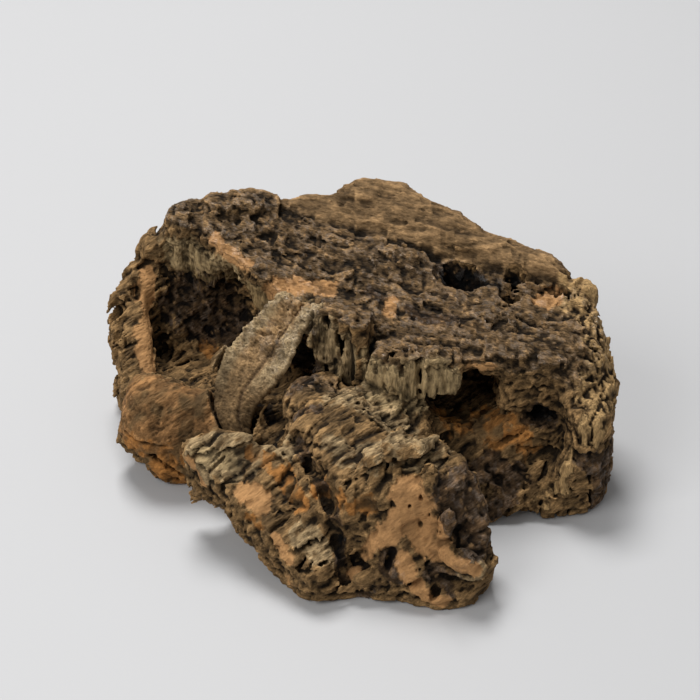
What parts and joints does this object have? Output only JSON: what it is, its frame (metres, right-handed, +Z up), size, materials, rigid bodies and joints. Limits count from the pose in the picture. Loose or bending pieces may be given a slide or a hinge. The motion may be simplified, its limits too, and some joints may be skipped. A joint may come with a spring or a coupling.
{
  "type": "piece of cork bark",
  "caption": "Knotty chunk of cork-oak bark with a thick sloping top face, two deep hollows, a curled flake and broken ridges at the front.",
  "frame": {"origin": "middle of the chunk's bounding box, on the surface that it lies on", "axes": "+X along its longest extent, towards the end with the layered edge; -Y towards the low, broken front with the ridges; +Z up"},
  "size_m": [0.196, 0.166, 0.086],
  "materials": {
    "bark": "rough, dry and matte"
  },
  "bodies": {
    "root": {"cork_bark": "bark"}
  },
  "joints": []
}
